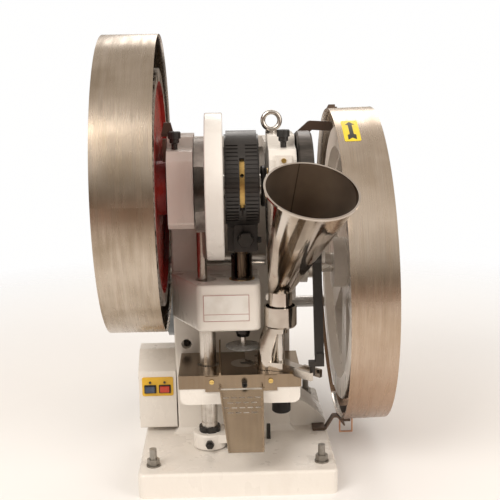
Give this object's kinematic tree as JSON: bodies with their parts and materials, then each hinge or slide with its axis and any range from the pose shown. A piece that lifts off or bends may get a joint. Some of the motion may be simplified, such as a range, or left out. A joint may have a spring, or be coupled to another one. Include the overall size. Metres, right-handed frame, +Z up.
{
  "type": "tablet press",
  "caption": "Belt-driven eccentric tablet press: cast column, flywheel, geared crank with ram and punches, powder hopper, swinging feed boot, discharge chute.",
  "frame": {"origin": "centre of the underside of the base", "axes": "+Z up, +X to the operator's right, the operator and the discharge chute at -Y, the motor at +Y"},
  "size_m": [0.4729, 0.7417, 0.749],
  "materials": {
    "white_paint": "gloss enamel over cast iron",
    "stainless_sheet": "brushed stainless sheet",
    "polished_steel": "polished stainless spinning",
    "ground_steel": "ground bar",
    "black_oxide": "blackened steel",
    "gear_iron": "machined teeth, red painted web",
    "bronze": "turned bronze and brass",
    "motor_grey": "grey enamel",
    "bracket_brown": "dull brown paint",
    "belt_rubber": "wrapped rubber belt",
    "clear_plastic": "smoky translucent plastic",
    "yellow_panel": "yellow faceplate",
    "red_plastic": "red push button",
    "label_white": "printed plate, left blank"
  },
  "bodies": {
    "frame": {"base": "white_paint", "column": "white_paint", "column_cover": "white_paint", "ram_guide_head": "white_paint", "table": "white_paint", "table_tray": "stainless_sheet", "die": "ground_steel", "bearing_housing_left": "white_paint", "bearing_housing_right": "white_paint", "shaft_bushes": "bronze", "guide_bushes": "bronze", "boot_post": "ground_steel", "side_brackets": "white_paint", "belt": "belt_rubber", "motor": "motor_grey", "motor_bracket": "motor_grey", "gear_guard": "stainless_sheet", "wheel_guard": "stainless_sheet", "guard_brackets": "bracket_brown", "guard_latches": "bracket_brown", "anchor_bolts": "black_oxide", "eye_bolt": "ground_steel", "oil_cups": "black_oxide", "brass_screws": "bronze", "die_screw": "black_oxide", "label_plate": "label_white", "switch_box": "white_paint", "switch_panel": "yellow_panel", "chute": "stainless_sheet", "guide_fence": "stainless_sheet"},
    "crank": {"main_shaft": "ground_steel", "bull_gear": "gear_iron", "ejection_cam": "white_paint", "eccentric": "ground_steel", "shaft_collars": "black_oxide", "feed_cam": "black_oxide"},
    "upper_ram": {"eccentric_strap": "black_oxide", "strap_bush": "bronze", "clamp_bolt": "black_oxide", "ram": "black_oxide", "upper_punch": "ground_steel", "dust_disc": "clear_plastic"},
    "lift": {"lift_yoke": "gear_iron", "pull_rod": "ground_steel", "lift_rod": "ground_steel", "lower_arm": "white_paint", "arm_nuts": "black_oxide", "lower_ram": "ground_steel", "lower_punch": "ground_steel"},
    "fill_ring": {"adjusting_gear": "black_oxide"},
    "feed": {"feed_boot": "polished_steel"},
    "lever": {"swing_lever": "black_oxide"},
    "funnel": {"hopper": "polished_steel"},
    "drive": {"drive_shaft": "ground_steel", "pinion": "gear_iron", "flywheel": "white_paint"},
    "rotor": {"motor_pulley": "gear_iron"},
    "start": {"start_button": "black_oxide"},
    "stop": {"stop_button": "red_plastic"},
    "bail": {"latch_bail": "ground_steel"}
  },
  "joints": [
    {"name": "crank_turn", "type": "hinge", "parent": "frame", "child": "crank", "pos_m": [0, -0.085, 0.499], "axis": [1, 0, 0], "continuous": true},
    {"name": "drive_turn", "type": "hinge", "parent": "frame", "child": "drive", "pos_m": [0, 0.06161, 0.3343], "axis": [1, 0, 0], "continuous": true},
    {"name": "motor_turn", "type": "hinge", "parent": "frame", "child": "rotor", "pos_m": [0.215, 0.328, 0.19], "axis": [1, 0, 0], "continuous": true},
    {"name": "ram_slide", "type": "slide", "parent": "frame", "child": "upper_ram", "axis": [0, 0, 1], "range_m": [-0.025, 0]},
    {"name": "lift_slide", "type": "slide", "parent": "frame", "child": "lift", "axis": [0, 0, 1], "range_m": [0, 0.014]},
    {"name": "fill_ring_turn", "type": "hinge", "parent": "lift", "child": "fill_ring", "pos_m": [0.014, -0.085, 0.05], "axis": [0, 0, 1], "continuous": true},
    {"name": "boot_swing", "type": "hinge", "parent": "frame", "child": "feed", "pos_m": [0.0765, -0.121, 0.2], "axis": [0, 0, 1], "range_deg": [0, 30]},
    {"name": "lever_swing", "type": "hinge", "parent": "frame", "child": "lever", "pos_m": [0.137, -0.126, 0.385], "axis": [1, 0, 0], "range_deg": [0, 11.6]},
    {"name": "hopper_lift", "type": "slide", "parent": "frame", "child": "funnel", "axis": [0, -0.5, 0.866], "range_m": [0, 0.07]},
    {"name": "start_press", "type": "slide", "parent": "frame", "child": "start", "axis": [0, 1, 0], "range_m": [0, 0.004], "stiffness_N_per_m": 400, "springref_m": -0.001},
    {"name": "stop_press", "type": "slide", "parent": "frame", "child": "stop", "axis": [0, 1, 0], "range_m": [0, 0.004], "stiffness_N_per_m": 400, "springref_m": -0.001},
    {"name": "bail_swing", "type": "hinge", "parent": "frame", "child": "bail", "pos_m": [0.206, 0.03, 0.041], "axis": [1, 0, 0], "range_deg": [-60, 60]}
  ],
  "couplings": [
    {"joint": "drive_turn", "follows": "crank_turn", "ratio": -6.875},
    {"joint": "motor_turn", "follows": "crank_turn", "ratio": -51.721},
    {"joint": "lever_swing", "follows": "boot_swing", "ratio": 0.385}
  ]
}
